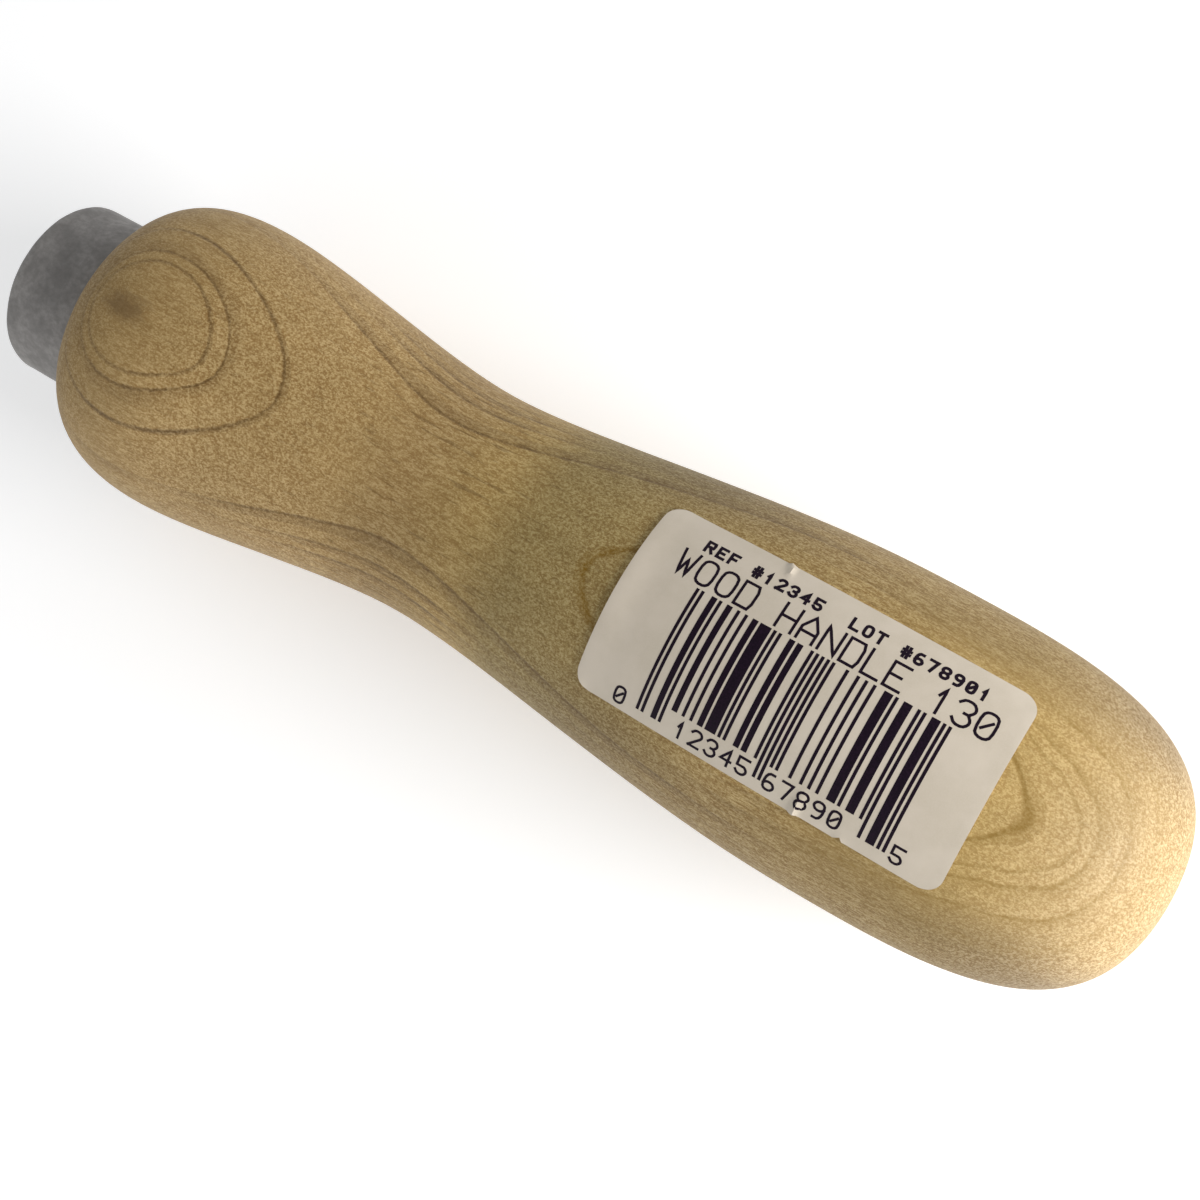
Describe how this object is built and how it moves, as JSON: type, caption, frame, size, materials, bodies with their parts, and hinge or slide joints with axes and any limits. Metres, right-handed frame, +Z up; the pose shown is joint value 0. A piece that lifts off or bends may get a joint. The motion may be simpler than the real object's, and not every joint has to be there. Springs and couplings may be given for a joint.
{
  "type": "file handle",
  "caption": "Turned hardwood grip with a front swell, a narrow neck and a long palm swell, bored for a file's tang, with a short steel ferrule and a paper label.",
  "frame": {"origin": "bottom centre: the middle of the handle's length, under its axis, on the surface it lies on", "axes": "+X from the ferrule's face to the rounded butt, +Z up through the middle of the label"},
  "size_m": [0.13, 0.0324, 0.0328],
  "materials": {
    "hardwood": "clear satin lacquer over pale turned hardwood",
    "ferrule_steel": "dull drawn steel",
    "label_paper": "coated label paper with dark print"
  },
  "bodies": {
    "root": {"wooden_grip": "hardwood", "ferrule": "ferrule_steel", "paper_label": "label_paper"}
  },
  "joints": []
}
